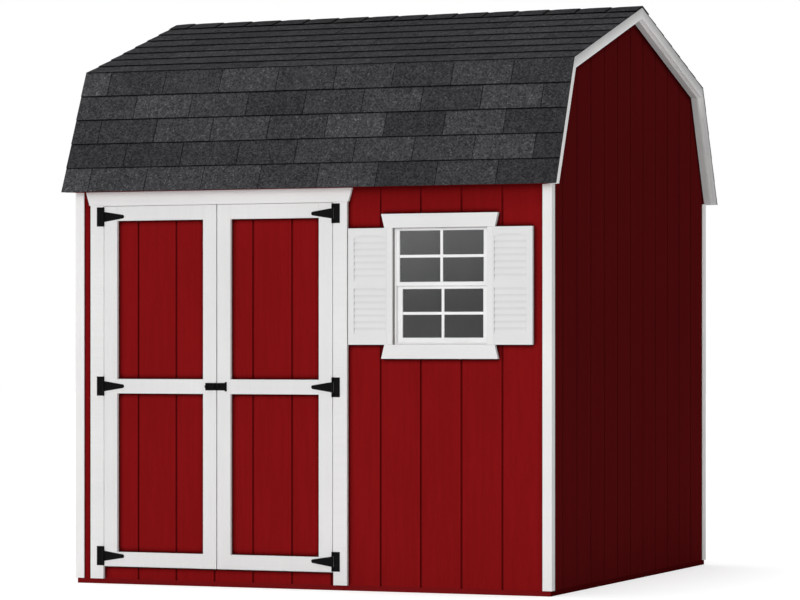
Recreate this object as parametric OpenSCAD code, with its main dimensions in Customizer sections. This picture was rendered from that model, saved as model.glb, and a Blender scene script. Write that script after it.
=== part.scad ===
// Small gambrel-roofed timber barn with double doors and one shuttered window.
// Millimetres. The front faces -Y, +X is to the right of the front, +Z is up.
// The origin is on the ground at the centre of the footprint.

/* [Overall] */
// Width of the timber frame along the front, without the siding
frame_width = 2424; // [2400:1:3200]
// Depth of the timber frame from front to back, without the siding
frame_depth = 2424; // [2200:1:3000]
// Thickness of the grooved siding sheets
siding_thickness = 10; // [8:0.5:13]

/* [Siding] */
// Distance between two vertical grooves
groove_pitch = 203.2; // [150:0.1:310]
// Width of a groove
groove_width = 9.5; // [6:0.5:14]
// Depth of a groove
groove_depth = 4; // [2:0.5:6]
// First groove from the left corner on the front and on the back
left_groove = 127.5; // [60:0.5:200]
// First groove from the right corner on the window side of the front
right_groove = 33; // [20:0.5:200]
// First groove from the front corner on the two gable walls
gable_groove = 171; // [60:0.5:200]
// Height of the plain strip that carries the lower edge of the siding
base_strip_height = 25; // [20:1:40]

/* [Timber] */
// Narrow side of the framing timber
stud_width = 38; // [32:1:45]
// Wide side of the framing timber
stud_depth = 64; // [60:1:90]
// Number of floor joists
joist_count = 7; // [5:1:9]
// Number of studs in a wall without openings
stud_count = 5; // [4:1:7]
// Thickness of the floor deck
deck_thickness = 16; // [12:1:19]
// Number of roof trusses
truss_count = 5; // [3:1:7]
// Thickness of the plywood plates on the truss joints
gusset_thickness = 12; // [9:1:15]
// Length of a truss plate along each rafter
gusset_length = 150; // [100:1:200]

/* [Roof] */
// Height of the lower edge of the roofing at the eaves
eave_height = 1902; // [1880:1:2100]
// How far the roofing reaches beyond the front and back siding
eave_overhang = 76; // [55:1:100]
// Height of the bend between the steep and the shallow slope
break_height = 2504; // [2400:1:2650]
// Distance of the bend inwards from the front and back siding
break_inset = 185; // [150:1:260]
// Height of the ridge, over the ridge shingles
ridge_height = 2837; // [2780:1:3000]
// Thickness of the shingles
shingle_thickness = 5; // [4:0.5:12]
// Thickness of the ridge shingles over the others
ridge_cap_thickness = 4; // [3:0.5:8]
// Width of the ridge shingles on each side of the ridge
ridge_cap_width = 110; // [90:1:180]
// Thickness of the roof boards
roof_board_thickness = 11; // [9:1:18]
// How far the gable fascia stands out from the gable siding
rake_overhang = 50; // [40:1:120]
// How far the shingles reach beyond the gable fascia
shingle_lip = 2; // [1:1:15]
// Thickness of the gable fascia
fascia_thickness = 19; // [15:1:25]
// Width of the gable fascia along the shallow slopes
fascia_width = 53; // [45:1:90]
// Width of the gable fascia along the steep slopes
steep_fascia_width = 42; // [35:1:90]
// Width of the strip behind the gable fascia
rake_strip_width = 51; // [40:1:80]
// Thickness of the soffit board under the eaves
soffit_thickness = 12; // [9:1:18]

/* [Corner boards] */
// Width of the corner boards
corner_width = 46; // [38:1:80]
// Thickness of the corner boards
corner_thickness = 8; // [6:1:19]

/* [Doorway] */
// Distance of the doorway from the left corner
doorway_from_left = 149; // [140:1:180]
// Width of the doorway
doorway_width = 1214; // [1120:1:1220]
// Height of the top of the doorway over the ground
doorway_top = 1837; // [1780:1:1850]
// Gap round each door leaf
door_gap = 5; // [5:0.5:8]
// Height of the lower edge of the door leaves over the ground
door_bottom = 86; // [85:1:110]
// Width of the boards on the doors and round the doorway
board_width = 70; // [60:1:90]
// Thickness of the boards on the doors and round the doorway
board_thickness = 19; // [16:1:22]
// Height of the middle of the doors' middle rail
middle_rail_height = 960; // [800:1:1100]
// How far the head board reaches past the side boards at its lower edge
head_board_lap = 6; // [0:1:20]
// How far the head board widens towards its upper edge
head_board_flare = 18; // [0:1:30]
// Inset of the boards that stiffen the back of a door
inner_frame_inset = 8; // [8:1:20]
// Width of the boards that stiffen the back of a door
inner_frame_width = 60; // [40:1:80]
// Thickness of the door stops
stop_thickness = 12; // [8:1:16]
// Depth of the door stops
stop_depth = 28; // [15:1:30]
// Clearance between the closed doors and their stops
stop_clearance = 7; // [5:0.5:8]

/* [Hinges] */
// Distance of the outer hinges from the ends of a door
hinge_inset = 50; // [48:1:90]
// Width of the hinge plate on the side board
hinge_plate_width = 34; // [25:1:45]
// Height of the hinge plate
hinge_plate_height = 93; // [80:1:95]
// Thickness of the hinge sheet metal
hinge_sheet = 2.5; // [2:0.5:4]
// Length of the tapered strap from the hinge axis
strap_length = 110; // [80:1:160]
// Height of the strap at the hinge
strap_root = 50; // [40:1:60]
// Height of the strap at its tip
strap_tip = 18; // [10:1:30]
// Radius of the hinge barrel
barrel_radius = 4.5; // [4:0.1:6]
// Radius of the hinge pin
pin_radius = 2.5; // [2:0.1:3]
// Running clearance round the hinge pin
pin_clearance = 0.1; // [0.05:0.01:0.2]

/* [Latch] */
// Height of the latch plates
latch_height = 36; // [30:1:50]
// Length of the latch plate on the left door
latch_length = 57; // [56:1:70]
// Length of the keeper plate on the right door
keeper_length = 41; // [35:1:60]
// Radius of the sliding bolt
bolt_radius = 4.5; // [3.5:0.1:5]
// Clearance round the sliding bolt
bolt_clearance = 0.1; // [0.05:0.05:0.3]
// Clearance between the bolt's end and the square hole of the keeper
keeper_clearance = 0.5; // [0.3:0.1:0.8]
// Travel of the sliding bolt
bolt_travel = 20; // [18:1:21]

/* [Window] */
// Distance from the door's side board to the left shutter
shutter_gap = 6; // [5:1:20]
// Width of the opening between the window casings
window_width = 476; // [400:1:480]
// Height of the opening between the window casings
window_height = 548; // [450:1:600]
// Height of the lower edge of the window opening
window_bottom = 1161; // [1050:1:1180]
// Width of the side casings of the window
window_casing_width = 26; // [20:1:30]
// Height of the head and sill boards of the window
window_board_height = 66; // [50:1:80]
// Thickness of the head and sill boards of the window
window_board_thickness = 22; // [19:1:30]
// How far the head and sill boards reach past the side casings
window_board_lap = 12; // [5:1:20]
// How far the head and sill boards widen away from the window
window_board_flare = 16; // [0:1:30]
// Gap between the window frame and the wall at the sides
window_shim = 3; // [2:0.5:5]
// Gap between the window frame and the wall at the top
window_head_shim = 1; // [0.5:0.5:4]
// Setback of the window frame from the siding's face
window_setback = 6; // [2:1:10]
// Visible thickness of the window frame
window_frame_thickness = 8; // [6:1:15]
// Thickness of each sash
sash_thickness = 15; // [14:1:22]
// Width of the side members of the upper sash
upper_stile = 16; // [14:1:30]
// Height of the top member of the upper sash
upper_top_rail = 7; // [7:1:30]
// Height of the lower member of the upper sash
meeting_rail = 18; // [15:1:30]
// Height at which the upper sash ends
meeting_height = 1437; // [1400:1:1460]
// Width of the side members of the lower sash
lower_stile = 24; // [18:1:35]
// Height of the upper member of the lower sash
lower_top_rail = 23; // [18:1:35]
// Height of the lower member of the lower sash
lower_bottom_rail = 24; // [20:1:40]
// Thickness of the panes
glass_thickness = 3; // [2.5:0.5:4]
// Depth of the groove that holds a pane
glass_groove = 3; // [2:0.5:5]
// Clearance of fitted pieces
fit_clearance = 0.3; // [0.1:0.05:0.5]

/* [Shutters] */
// Width of a shutter
shutter_width = 197; // [150:1:215]
// Thickness of a shutter
shutter_thickness = 19; // [12:1:22]
// Width of the outer side member of a shutter
shutter_stile = 30; // [22:1:40]
// Width of the side member beside the window casing
shutter_inner_stile = 8; // [6:1:30]
// Height of the top member at the middle of its arch
shutter_top_rail = 30; // [25:1:50]
// Rise of the arch under the top member
shutter_arch = 15; // [5:1:20]
// Height of the middle member
shutter_middle_rail = 33; // [25:1:50]
// Height of the lower edge of the middle member over the shutter's lower edge
shutter_middle_height = 265; // [240:1:300]
// Height of the bottom member
shutter_bottom_rail = 49; // [40:1:70]
// Depth of the louvred fields
louver_depth = 4.5; // [3:0.5:9]
// Number of slats in the lower field
louver_count = 7; // [5:1:9]
// Setback of the slats from the shutter's face
slat_setback = 1; // [0:0.5:2.5]
// Thickness of a slat at its front edge
slat_edge = 1.5; // [1:0.5:4]

/* [Hidden] */
$fn = 48;

red = [0.42, 0.05, 0.06];
white = [0.9, 0.9, 0.9];
timber = [0.8, 0.66, 0.45];
plywood = [0.85, 0.72, 0.52];
charcoal = [0.22, 0.22, 0.23];
black = [0.05, 0.05, 0.05];
pane = [0.35, 0.38, 0.4, 0.6];

// Planes of the frame and of the siding, measured from the middle
frame_x = frame_width / 2;
frame_y = frame_depth / 2;
siding_x = frame_x + siding_thickness;
siding_y = frame_y + siding_thickness;
board_face = siding_y + board_thickness;

// Floor
floor_top = stud_depth + deck_thickness;
plate_top_of_floor = floor_top + stud_width;

// Roof outline as distance from the middle and height, at a depth under
// the outer face of the shingles. The ridge shingles lie on top of it.
eave_y = siding_y + eave_overhang;
break_y = siding_y - break_inset;
peak = ridge_height - ridge_cap_thickness / cos(atan2(ridge_height - break_height, break_y));
lower_pitch = atan2(break_height - eave_height, eave_y - break_y);
upper_pitch = atan2(peak - break_height, break_y);
lower_normal = [sin(lower_pitch), cos(lower_pitch)];
upper_normal = [sin(upper_pitch), cos(upper_pitch)];
function eave_point(d) = [eave_y - d / sin(lower_pitch), eave_height];
function break_point(d) = [break_y, break_height]
    - d * (lower_normal + upper_normal) / (1 + lower_normal * upper_normal);
function ridge_point(d) = [0, peak - d / cos(upper_pitch)];
// Point at the bend where a steep and a shallow line at two depths cross
function bend_point(steep, shallow) =
    let(c = lower_normal * upper_normal)
    [break_y, break_height]
    - ((steep - c * shallow) * lower_normal + (shallow - c * steep) * upper_normal) / (1 - c * c);
function lower_height(y, d) = eave_height + (eave_point(d)[0] - y) * tan(lower_pitch);
function upper_height(y, d) = ridge_point(d)[1] - abs(y) * tan(upper_pitch);
board_depth = shingle_thickness;
board_bottom = board_depth + roof_board_thickness;
rafter_depth = board_bottom + fit_clearance;
inner_depth = rafter_depth + stud_depth;
gable_stud_depth = inner_depth + fit_clearance;
// Gap between the pairs of pieces that meet at the ridge or at a mitre
joint_gap = 0.6;
function ridge_end(d) = [joint_gap / 2, upper_height(joint_gap / 2, d)];

// Walls
wall_top = lower_height(frame_y, rafter_depth);
plate_bottom = wall_top - stud_width;
stud_top = plate_bottom - fit_clearance;
siding_top = lower_height(siding_y, rafter_depth);
fascia_x = siding_x + rake_overhang;
strip_x = fascia_x - fascia_thickness;
roof_x = fascia_x + shingle_lip;

// Doorway
door_left = -siding_x + doorway_from_left;
door_right = door_left + doorway_width;
leaf_width = (doorway_width - 3 * door_gap) / 2;
leaf_top = doorway_top - door_gap;
leaf_height = leaf_top - door_bottom;
left_leaf = door_left + door_gap;
right_leaf = left_leaf + leaf_width + door_gap;
hinge_heights = [door_bottom + hinge_inset, middle_rail_height, leaf_top - hinge_inset];
hinge_y = -(board_face + barrel_radius + 0.5);
left_hinge_x = door_left + door_gap / 2;
right_hinge_x = door_right - door_gap / 2;

// Window
left_shutter_x = door_right + board_width + shutter_gap;
window_left = left_shutter_x + shutter_width + fit_clearance + window_casing_width;
window_right = window_left + window_width;
window_middle = (window_left + window_right) / 2;
window_top = window_bottom + window_height;
right_shutter_x = window_right + window_casing_width + fit_clearance;
frame_front = -siding_y + window_setback;
sash_play = 2;
upper_sash_y = frame_front + sash_play;
lower_sash_y = upper_sash_y + sash_thickness + sash_play;

// Grooves of the front, kept by sheet: the sheets meet beside the doorway
sheet_joint = door_right + stud_width / 2;
front_grooves = concat(
    [for (x = [-siding_x + left_groove:groove_pitch:sheet_joint]) x],
    [for (x = [siding_x - right_groove:-groove_pitch:sheet_joint]) x]
);
back_grooves = [for (x = [-siding_x + left_groove:groove_pitch:siding_x]) x];
gable_grooves = [for (y = [-siding_y + gable_groove:groove_pitch:frame_y]) y];

// Outline of a grooved sheet seen from above, outer face at 0
function inside(list, a, b) = [
    for (g = list) if (g > a + groove_width && g < b - groove_width) g];
function sorted_grooves(list) = len(list) < 2 ? list : let (
    pivot = list[0],
    rest = [for (i = [1:len(list) - 1]) list[i]]
) concat(
    sorted_grooves([for (g = rest) if (g < pivot) g]), [pivot],
    sorted_grooves([for (g = rest) if (g >= pivot) g])
);
function sheet_outline(a, b, grooves) = concat(
    [[a, siding_thickness], [a, 0]],
    [for (g = sorted_grooves(inside(grooves, a, b))) each [
        [g - groove_width / 2, 0],
        [g - groove_width / 2, groove_depth],
        [g + groove_width / 2, groove_depth],
        [g + groove_width / 2, 0]
    ]],
    [[b, 0], [b, siding_thickness]]
);

// Upright grooved sheet on the front, from x = a to x = b
module front_sheet(a, b, z0, z1, grooves) {
    translate([0, -siding_y, z0])
        linear_extrude(z1 - z0)
            polygon(sheet_outline(a, b, grooves));
}

// Outline in distance from the middle and height, drawn from x0 to x1
module across(x0, x1) {
    translate([x0, 0, 0])
        rotate([90, 0, 90])
            linear_extrude(x1 - x0)
                children();
}

// The same piece on the front half and on the back half
module both_halves() {
    children();
    mirror([0, 1, 0]) children();
}

// The same piece on the left half and on the right half
module both_ends() {
    children();
    mirror([1, 0, 0]) children();
}

module block(x0, x1, y0, y1, z0, z1) {
    translate([x0, y0, z0]) cube([x1 - x0, y1 - y0, z1 - z0]);
}

// Floor

module floor_frame() {
    color(timber) {
        both_halves()
            block(-frame_x, frame_x, frame_y - stud_width, frame_y, 0, stud_depth);
        inner_y = frame_y - stud_width - fit_clearance;
        pitch = (frame_width - stud_width) / (joist_count - 1);
        for (i = [0:joist_count - 1])
            translate([-frame_x + i * pitch, -inner_y, 0])
                cube([stud_width, 2 * inner_y, stud_depth]);
    }
}

module floor_deck() {
    color(plywood)
        block(-frame_x, frame_x, -frame_y, frame_y, stud_depth, floor_top);
}

module base_strip() {
    color(red) {
        both_halves()
            block(-siding_x, siding_x, frame_y, siding_y, 0, base_strip_height);
        both_ends()
            block(frame_x, siding_x, -frame_y + fit_clearance, frame_y - fit_clearance,
                0, base_strip_height);
    }
}

// Siding

module front_siding_left() {
    color(red)
        front_sheet(-siding_x, door_left, base_strip_height, siding_top, front_grooves);
}

module front_siding_below_door() {
    color(red)
        front_sheet(door_left, door_right, base_strip_height, floor_top, front_grooves);
}

module front_siding_above_door() {
    color(red)
        front_sheet(door_left, door_right, doorway_top, siding_top, front_grooves);
}

module front_siding_right() {
    color(red)
        difference() {
            front_sheet(door_right, siding_x, base_strip_height, siding_top, front_grooves);
            block(window_left, window_right, -siding_y - 1, -frame_y + 1,
                window_bottom, window_top);
        }
}

module back_siding() {
    color(red)
        mirror([0, 1, 0])
            front_sheet(-siding_x, siding_x, base_strip_height, siding_top, back_grooves);
}

module gable_siding() {
    intersection() {
        translate([0, 0, base_strip_height])
            rotate([0, 0, 90])
                translate([0, -siding_x, 0])
                    linear_extrude(ridge_height)
                        polygon(sheet_outline(-frame_y, frame_y, gable_grooves));
        across(frame_x - 1, siding_x + 1)
            polygon([
                [-frame_y, base_strip_height],
                [frame_y, base_strip_height],
                [frame_y, lower_height(frame_y, rafter_depth)],
                break_point(rafter_depth),
                ridge_point(rafter_depth),
                [-break_point(rafter_depth)[0], break_point(rafter_depth)[1]],
                [-frame_y, lower_height(frame_y, rafter_depth)]
            ]);
    }
}

module left_siding() {
    color(red) mirror([1, 0, 0]) gable_siding();
}

module right_siding() {
    color(red) gable_siding();
}

// Wall frames

module bottom_plates() {
    color(timber) {
        y0 = frame_y - stud_depth;
        block(-frame_x, door_left, -frame_y, -y0, floor_top, plate_top_of_floor);
        block(door_right, frame_x, -frame_y, -y0, floor_top, plate_top_of_floor);
        block(-frame_x, frame_x, y0, frame_y, floor_top, plate_top_of_floor);
        both_ends()
            block(frame_x - stud_depth, frame_x, -y0 + fit_clearance, y0 - fit_clearance,
                floor_top, plate_top_of_floor);
    }
}

module top_plates() {
    color(timber) {
        y0 = frame_y - stud_depth;
        both_halves()
            block(-frame_x, frame_x, y0, frame_y, plate_bottom, wall_top);
        both_ends()
            block(frame_x - stud_depth, frame_x, -y0 + fit_clearance, y0 - fit_clearance,
                plate_bottom, wall_top);
    }
}

module front_stud(x, z0, z1) {
    block(x, x + stud_width, -frame_y, -frame_y + stud_depth, z0, z1);
}

module front_studs() {
    color(timber) {
        sill_bottom = window_bottom - stud_width;
        header_top = window_top + stud_width;
        front_stud(-frame_x, plate_top_of_floor, stud_top);
        front_stud(door_left - stud_width, plate_top_of_floor, doorway_top);
        front_stud(door_right, plate_top_of_floor, doorway_top);
        front_stud(window_left - stud_width, plate_top_of_floor, stud_top);
        front_stud(window_right, plate_top_of_floor, stud_top);
        front_stud(frame_x - stud_width, plate_top_of_floor, stud_top);
        front_stud(window_middle - stud_width / 2, plate_top_of_floor, sill_bottom);
        front_stud(window_middle - stud_width / 2, header_top, stud_top);
    }
}

module back_studs() {
    color(timber) {
        pitch = (frame_width - stud_width) / (stud_count - 1);
        for (i = [0:stud_count - 1])
            translate([-frame_x + i * pitch, frame_y - stud_depth, plate_top_of_floor])
                cube([stud_width, stud_depth, stud_top - plate_top_of_floor]);
    }
}

// Studs of the gable walls, and the short ones above their top plate
module side_studs() {
    color(timber)
        both_ends() {
            end_y = frame_y - stud_depth - fit_clearance;
            pitch = (2 * end_y - stud_width) / (stud_count - 1);
            for (i = [0:stud_count - 1])
                translate([frame_x - stud_depth, -end_y + i * pitch, plate_top_of_floor])
                    cube([stud_depth, stud_width, stud_top - plate_top_of_floor]);
            for (y = [-break_y / 2, break_y / 2])
                across(frame_x - stud_width, frame_x)
                    polygon([
                        [y - stud_depth / 2, wall_top],
                        [y + stud_depth / 2, wall_top],
                        [y + stud_depth / 2, upper_height(y + stud_depth / 2, gable_stud_depth)],
                        [y - stud_depth / 2, upper_height(y - stud_depth / 2, gable_stud_depth)]
                    ]);
            across(frame_x - stud_width, frame_x)
                polygon([
                    [-stud_depth / 2, wall_top],
                    [stud_depth / 2, wall_top],
                    [stud_depth / 2, upper_height(stud_depth / 2, gable_stud_depth)],
                    ridge_point(gable_stud_depth),
                    [-stud_depth / 2, upper_height(stud_depth / 2, gable_stud_depth)]
                ]);
        }
}

// Beam over the doorway, and the sill and header of the window
module opening_headers() {
    color(timber) {
        y0 = -frame_y;
        y1 = -frame_y + stud_depth;
        block(door_left - stud_width, door_right + stud_width, y0, y1,
            doorway_top, stud_top);
        block(window_left, window_right, y0, y1, window_bottom - stud_width, window_bottom);
        block(window_left, window_right, y0, y1, window_top, window_top + stud_width);
    }
}

// Roof

// Positions of the trusses along the building
truss_pitch = (frame_width - stud_width) / (truss_count - 1);
truss_places = [for (i = [0:truss_count - 1]) -frame_x + i * truss_pitch];

module lower_rafters() {
    color(timber)
        for (x = truss_places)
            both_halves()
                across(x, x + stud_width)
                    polygon([
                        [frame_y, wall_top],
                        break_point(rafter_depth),
                        break_point(inner_depth),
                        [frame_y - stud_depth / sin(lower_pitch), wall_top]
                    ]);
}

// Stretch of the shallow slope between two depths, ending at the ridge gap
module upper_stretch(d0, d1) {
    polygon([break_point(d0), ridge_end(d0), ridge_end(d1), break_point(d1)]);
}

module upper_rafters() {
    color(timber)
        for (x = truss_places)
            both_halves()
                across(x, x + stud_width)
                    upper_stretch(rafter_depth, inner_depth);
}

// Plates on the truss joints, on both faces of a truss where they are free
module truss_gussets() {
    color(plywood) {
        edge = 3;
        d0 = rafter_depth + edge;
        d1 = inner_depth - edge;
        lower_run = gusset_length * [cos(lower_pitch), -sin(lower_pitch)];
        upper_run = gusset_length * [-cos(upper_pitch), sin(upper_pitch)];
        ridge_run = gusset_length * [cos(upper_pitch), -sin(upper_pitch)];
        for (i = [0:truss_count - 1]) {
            first = i == 0 ? 1 : 0;
            last = i == truss_count - 1 ? 0 : 1;
            for (side = [first:last]) {
                x = truss_places[i] + (side == 0 ? -gusset_thickness : stud_width);
                both_halves()
                    across(x, x + gusset_thickness)
                        polygon([
                            break_point(d0) + lower_run,
                            break_point(d0),
                            break_point(d0) + upper_run,
                            break_point(d1) + upper_run,
                            break_point(d1) + lower_run
                        ]);
                across(x, x + gusset_thickness)
                    polygon([
                        ridge_point(d0),
                        ridge_point(d0) + ridge_run,
                        ridge_point(d1) + ridge_run,
                        ridge_point(d1) + [-ridge_run[0], ridge_run[1]],
                        ridge_point(d0) + [-ridge_run[0], ridge_run[1]]
                    ]);
            }
        }
    }
}

// Stretch of the steep slope between two depths
module lower_stretch(d0, d1) {
    polygon([eave_point(d0), break_point(d0), break_point(d1), eave_point(d1)]);
}

module lower_roof_boards() {
    color(plywood)
        both_halves()
            across(-strip_x, strip_x)
                lower_stretch(board_depth, board_bottom);
}

module upper_roof_boards() {
    color(plywood)
        both_halves()
            across(-strip_x, strip_x)
                upper_stretch(board_depth, board_bottom);
}

module lower_shingles() {
    color(charcoal)
        both_halves()
            across(-roof_x, roof_x)
                lower_stretch(0, shingle_thickness);
}

module upper_shingles() {
    color(charcoal)
        both_halves()
            across(-roof_x, roof_x)
                upper_stretch(0, shingle_thickness);
}

module ridge_cap() {
    color(charcoal)
        across(-roof_x, roof_x) {
            reach = ridge_cap_width * cos(upper_pitch);
            t = ridge_cap_thickness;
            polygon([
                [-reach, upper_height(reach, -fit_clearance)],
                ridge_point(-fit_clearance),
                [reach, upper_height(reach, -fit_clearance)],
                [reach, upper_height(reach, -t)],
                ridge_point(-t),
                [-reach, upper_height(reach, -t)]
            ]);
        }
}

// Boards that follow the roof on one gable, with open mitres. They start at
// one depth and reach to two others on the steep and the shallow slope.
module rake_run(x0, x1, start, steep, shallow) {
    outer = break_point(start);
    inner = bend_point(steep, shallow);
    both_halves() {
        across(x0, x1)
            difference() {
                polygon([eave_point(start), outer, inner, eave_point(steep)]);
                mitre_cut(outer, inner);
            }
        across(x0, x1)
            polygon([outer, ridge_end(start), ridge_end(shallow), inner]);
    }
}

// Thin slot at the bend, just below the mitre line
module mitre_cut(outer, inner) {
    past = (inner - outer) / norm(inner - outer);
    slip = joint_gap * [cos(lower_pitch), -sin(lower_pitch)];
    polygon([outer - past, inner + past, inner + past + slip, outer - past + slip]);
}

module rake_fascias() {
    color(white)
        both_ends()
            rake_run(strip_x, fascia_x, board_depth,
                board_depth + steep_fascia_width, board_depth + fascia_width);
}

module rake_strips() {
    color(white) {
        reach = rafter_depth + rake_strip_width;
        both_ends()
            rake_run(siding_x, strip_x, rafter_depth, reach, reach);
    }
}

module eave_soffits() {
    color(red)
        both_halves()
            across(-siding_x, siding_x) {
                edge = eave_point(rafter_depth)[0];
                top = eave_height + soffit_thickness;
                polygon([
                    [siding_y, eave_height],
                    [edge, eave_height],
                    [edge - soffit_thickness / tan(lower_pitch), top],
                    [siding_y, top]
                ]);
            }
}

// Corner boards: one on the front or back, and one on the gable behind it
module corner_boards() {
    color(white)
        both_ends()
            both_halves() {
                x1 = siding_x + corner_thickness;
                y1 = siding_y + corner_thickness;
                block(x1 - corner_width, x1, siding_y, y1, base_strip_height, eave_height);
                block(siding_x, x1, y1 - corner_width, siding_y - fit_clearance,
                    base_strip_height, eave_height);
            }
}

// Doorway

// Board that widens upwards, from x = a to x = b at its lower edge
module flared_board(a, b, z0, z1, flare, thickness) {
    translate([0, -siding_y, 0])
        rotate([90, 0, 0])
            linear_extrude(thickness)
                polygon([[a, z0], [b, z0], [b + flare, z1], [a - flare, z1]]);
}

module door_casings() {
    color(white) {
        block(door_left - board_width, door_left, -board_face, -siding_y,
            base_strip_height, doorway_top - fit_clearance);
        block(door_right, door_right + board_width, -board_face, -siding_y,
            base_strip_height, doorway_top - fit_clearance);
        flared_board(door_left - board_width - head_board_lap,
            door_right + board_width + head_board_lap,
            doorway_top, eave_height, head_board_flare, board_thickness);
    }
}

module door_stops() {
    color(timber) {
        y0 = -frame_y + board_thickness + stop_clearance;
        y1 = y0 + stop_depth;
        stop_top = doorway_top - stop_thickness;
        block(door_left, door_left + stop_thickness, y0, y1, floor_top,
            stop_top - fit_clearance);
        block(door_right - stop_thickness, door_right, y0, y1, floor_top,
            stop_top - fit_clearance);
        block(door_left, door_right, y0, y1, stop_top, doorway_top);
    }
}

// Boards of one door face: two upright and three level ones between them
module board_frame(x0, x1, z0, z1, y0, y1, width) {
    block(x0, x0 + width, y0, y1, z0, z1);
    block(x1 - width, x1, y0, y1, z0, z1);
    for (z = [z0, middle_rail_height - width / 2, z1 - width])
        block(x0 + width + fit_clearance, x1 - width - fit_clearance, y0, y1,
            z, z + width);
}

module door_panel(x0) {
    front_sheet(x0, x0 + leaf_width, door_bottom, leaf_top, front_grooves);
}

module door_boards(x0) {
    board_frame(x0, x0 + leaf_width, door_bottom, leaf_top,
        -board_face, -siding_y, board_width);
    board_frame(x0 + inner_frame_inset, x0 + leaf_width - inner_frame_inset,
        door_bottom + inner_frame_inset, leaf_top - inner_frame_inset,
        -frame_y, -frame_y + board_thickness, inner_frame_width);
}

module left_door_panel() {
    color(red) door_panel(left_leaf);
}

module left_door_boards() {
    color(white) door_boards(left_leaf);
}

module right_door_panel() {
    color(red) door_panel(right_leaf);
}

module right_door_boards() {
    color(white) door_boards(right_leaf);
}

// Hinges, drawn for a left leaf with the pin at the origin

// Space between a fixed and a moving knuckle
knuckle_gap = 0.5;

module hinge_plate() {
    sheet_y = barrel_radius + 0.5;
    half = hinge_plate_height / 2;
    slot = strap_root / 2 + knuckle_gap;
    difference() {
        block(-door_gap / 2 - hinge_plate_width, 0, sheet_y - hinge_sheet, sheet_y,
            -half, half);
        block(-barrel_radius - knuckle_gap, 1, sheet_y - hinge_sheet - 1, sheet_y + 1,
            -slot, slot);
    }
    for (z = [-half, slot])
        translate([0, 0, z])
            cylinder(r = barrel_radius, h = half - slot);
    translate([0, 0, -half])
        cylinder(r = pin_radius, h = 2 * half);
}

module hinge_strap() {
    sheet_y = barrel_radius + 0.5;
    tip_radius = strap_tip / 2;
    difference() {
        union() {
            translate([0, 0, -strap_root / 2])
                cylinder(r = barrel_radius, h = strap_root);
            translate([0, sheet_y, 0])
                rotate([90, 0, 0])
                    linear_extrude(hinge_sheet) {
                        polygon([
                            [0, -strap_root / 2],
                            [strap_length - tip_radius, -tip_radius],
                            [strap_length - tip_radius, tip_radius],
                            [0, strap_root / 2]
                        ]);
                        translate([strap_length - tip_radius, 0])
                            circle(r = tip_radius);
                    }
        }
        translate([0, 0, -strap_root])
            cylinder(r = pin_radius + pin_clearance, h = 2 * strap_root);
    }
}

module on_left_hinges() {
    for (z = hinge_heights)
        translate([left_hinge_x, hinge_y, z]) children();
}

module on_right_hinges() {
    for (z = hinge_heights)
        translate([right_hinge_x, hinge_y, z]) rotate([0, 180, 0]) children();
}

module hinge_plates() {
    color(black) {
        on_left_hinges() hinge_plate();
        on_right_hinges() hinge_plate();
    }
}

module left_door_straps() {
    color(black) on_left_hinges() hinge_strap();
}

module right_door_straps() {
    color(black) on_right_hinges() hinge_strap();
}

// Latch: a round bolt in two guides, and a keeper on the other door

latch_sheet = 2.5;
guide_length = 10;
guide_depth = 13;
latch_start = left_leaf + leaf_width - latch_length;
keeper_start = right_leaf + 1;
guide_inset = 3;
bolt_y = -(board_face + latch_sheet + guide_depth / 2);
knob_radius = 3;
knob_length = 9;
bolt_start = latch_start + 2;
bolt_end = left_leaf + leaf_width - guide_inset;
knob_x = latch_start + guide_inset + guide_length + knob_radius + 1.5;

// Guide on a latch plate, reaching up and down by half its height
module guide_block(x) {
    block(x, x + guide_length, -board_face - latch_sheet - guide_depth,
        -board_face - latch_sheet / 2,
        middle_rail_height - guide_depth / 2, middle_rail_height + guide_depth / 2);
}

// Guide with a round hole in which the bolt slides
module bolt_guide(x) {
    difference() {
        guide_block(x);
        translate([x - 1, bolt_y, middle_rail_height])
            rotate([0, 90, 0])
                cylinder(r = bolt_radius + bolt_clearance, h = guide_length + 2);
    }
}

// Guide with a square hole that receives the bolt's end
module bolt_staple(x) {
    half = bolt_radius + keeper_clearance;
    difference() {
        guide_block(x);
        block(x - 1, x + guide_length + 1, bolt_y - half, bolt_y + half,
            middle_rail_height - half, middle_rail_height + half);
    }
}

module latch_plate(x0, x1) {
    block(x0, x1, -board_face - latch_sheet, -board_face,
        middle_rail_height - latch_height / 2, middle_rail_height + latch_height / 2);
}

module latch_housing() {
    color(black) {
        latch_plate(latch_start, latch_start + latch_length);
        bolt_guide(latch_start + guide_inset);
        bolt_guide(bolt_end - guide_length);
    }
}

module latch_bolt() {
    color(black) {
        translate([bolt_start, bolt_y, middle_rail_height])
            rotate([0, 90, 0])
                cylinder(r = bolt_radius, h = bolt_end - bolt_start);
        translate([knob_x, bolt_y, middle_rail_height])
            rotate([90, 0, 0])
                cylinder(r = knob_radius, h = bolt_radius + knob_length);
    }
}

module latch_keeper() {
    color(black) {
        end_width = 9;
        end_rise = 4;
        latch_plate(keeper_start, keeper_start + keeper_length);
        bolt_staple(keeper_start + guide_inset);
        block(keeper_start + keeper_length, keeper_start + keeper_length + end_width,
            -board_face - 2 * latch_sheet, -board_face,
            middle_rail_height - latch_height / 2 - end_rise,
            middle_rail_height + latch_height / 2 + end_rise);
    }
}

// Window

module window_frame() {
    color(white)
        difference() {
            block(window_left + window_shim, window_right - window_shim,
                frame_front, -frame_y + stud_depth,
                window_bottom, window_top - window_head_shim);
            block(window_left + window_shim + window_frame_thickness,
                window_right - window_shim - window_frame_thickness,
                frame_front - 1, -frame_y + stud_depth + 1,
                window_bottom + window_frame_thickness,
                window_top - window_head_shim - window_frame_thickness / 2);
        }
}

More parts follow.
